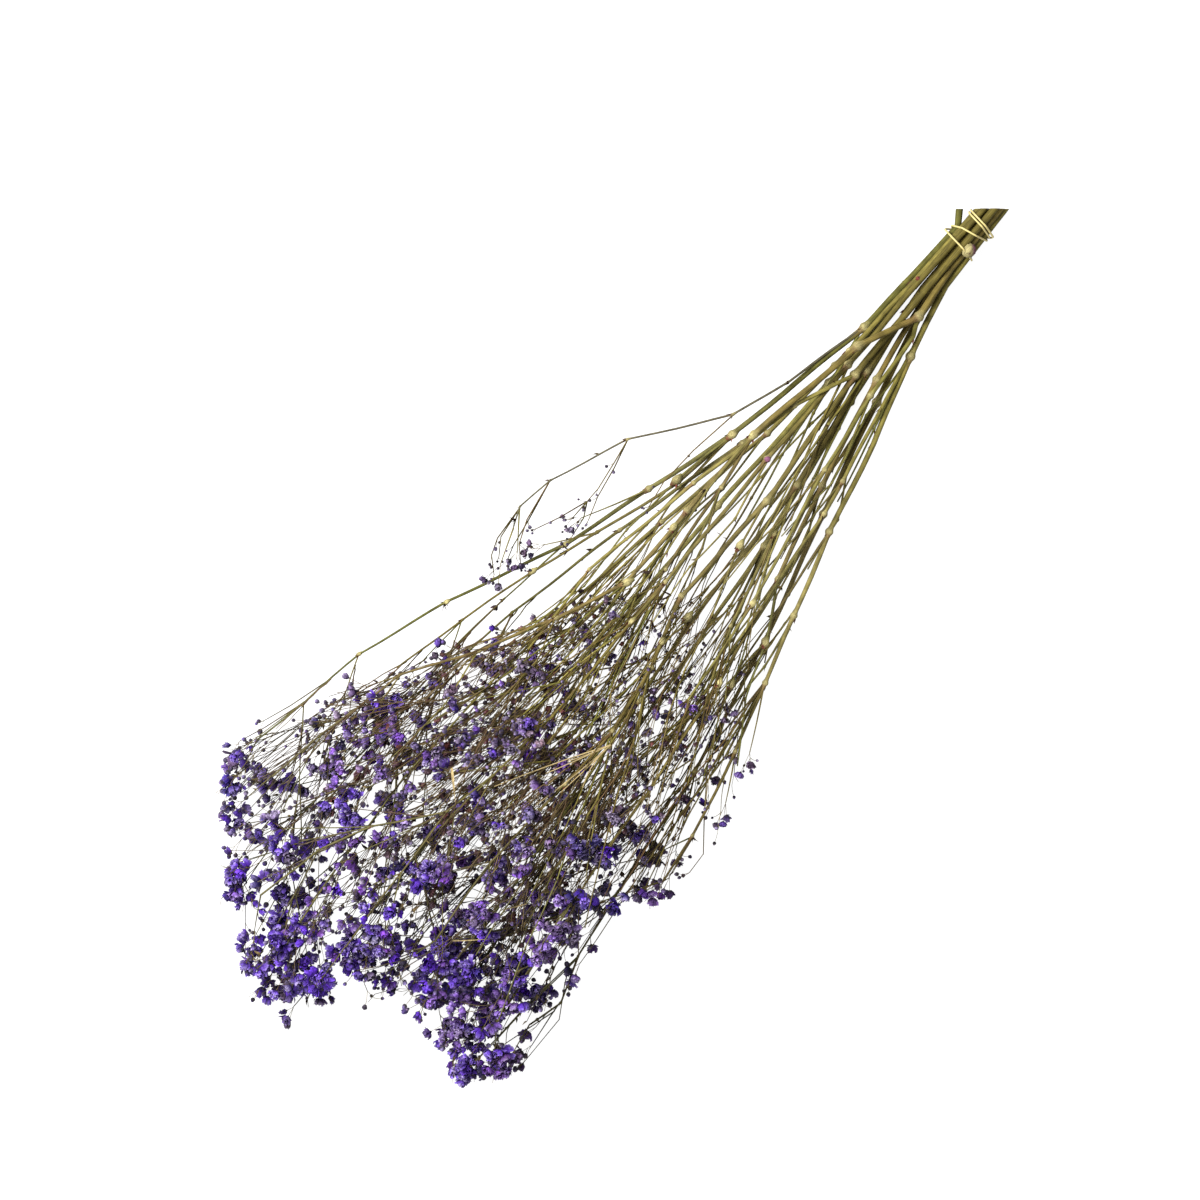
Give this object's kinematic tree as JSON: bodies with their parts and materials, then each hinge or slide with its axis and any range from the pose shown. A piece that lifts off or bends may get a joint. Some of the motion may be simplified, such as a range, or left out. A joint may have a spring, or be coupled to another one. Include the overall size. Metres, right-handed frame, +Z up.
{
  "type": "dried gypsophila bunch",
  "caption": "Tied bunch of dried, violet-dyed gypsophila lying on its side: forking stems held by a thin elastic band, with sprays of small double blooms.",
  "frame": {"origin": "on the surface that the bunch lies on, under the middle of its overall length and width", "axes": "+X along the stems towards their cut ends, +Z up from the surface, +Y to the left seen from the blooms"},
  "size_m": [0.6597, 0.2668, 0.1126],
  "materials": {
    "stem": "dry, finely streaked olive stems with paler knots",
    "bloom": "dry papery petals dyed violet blue",
    "band": "matt natural latex"
  },
  "bodies": {
    "root": {"spray_01": "stem", "spray_02": "stem", "spray_03": "stem", "spray_04": "stem", "spray_05": "stem", "spray_06": "stem", "spray_07": "stem", "spray_08": "stem", "spray_09": "stem", "spray_10": "stem", "spray_11": "stem", "spray_12": "stem", "elastic_band": "band"}
  },
  "joints": []
}
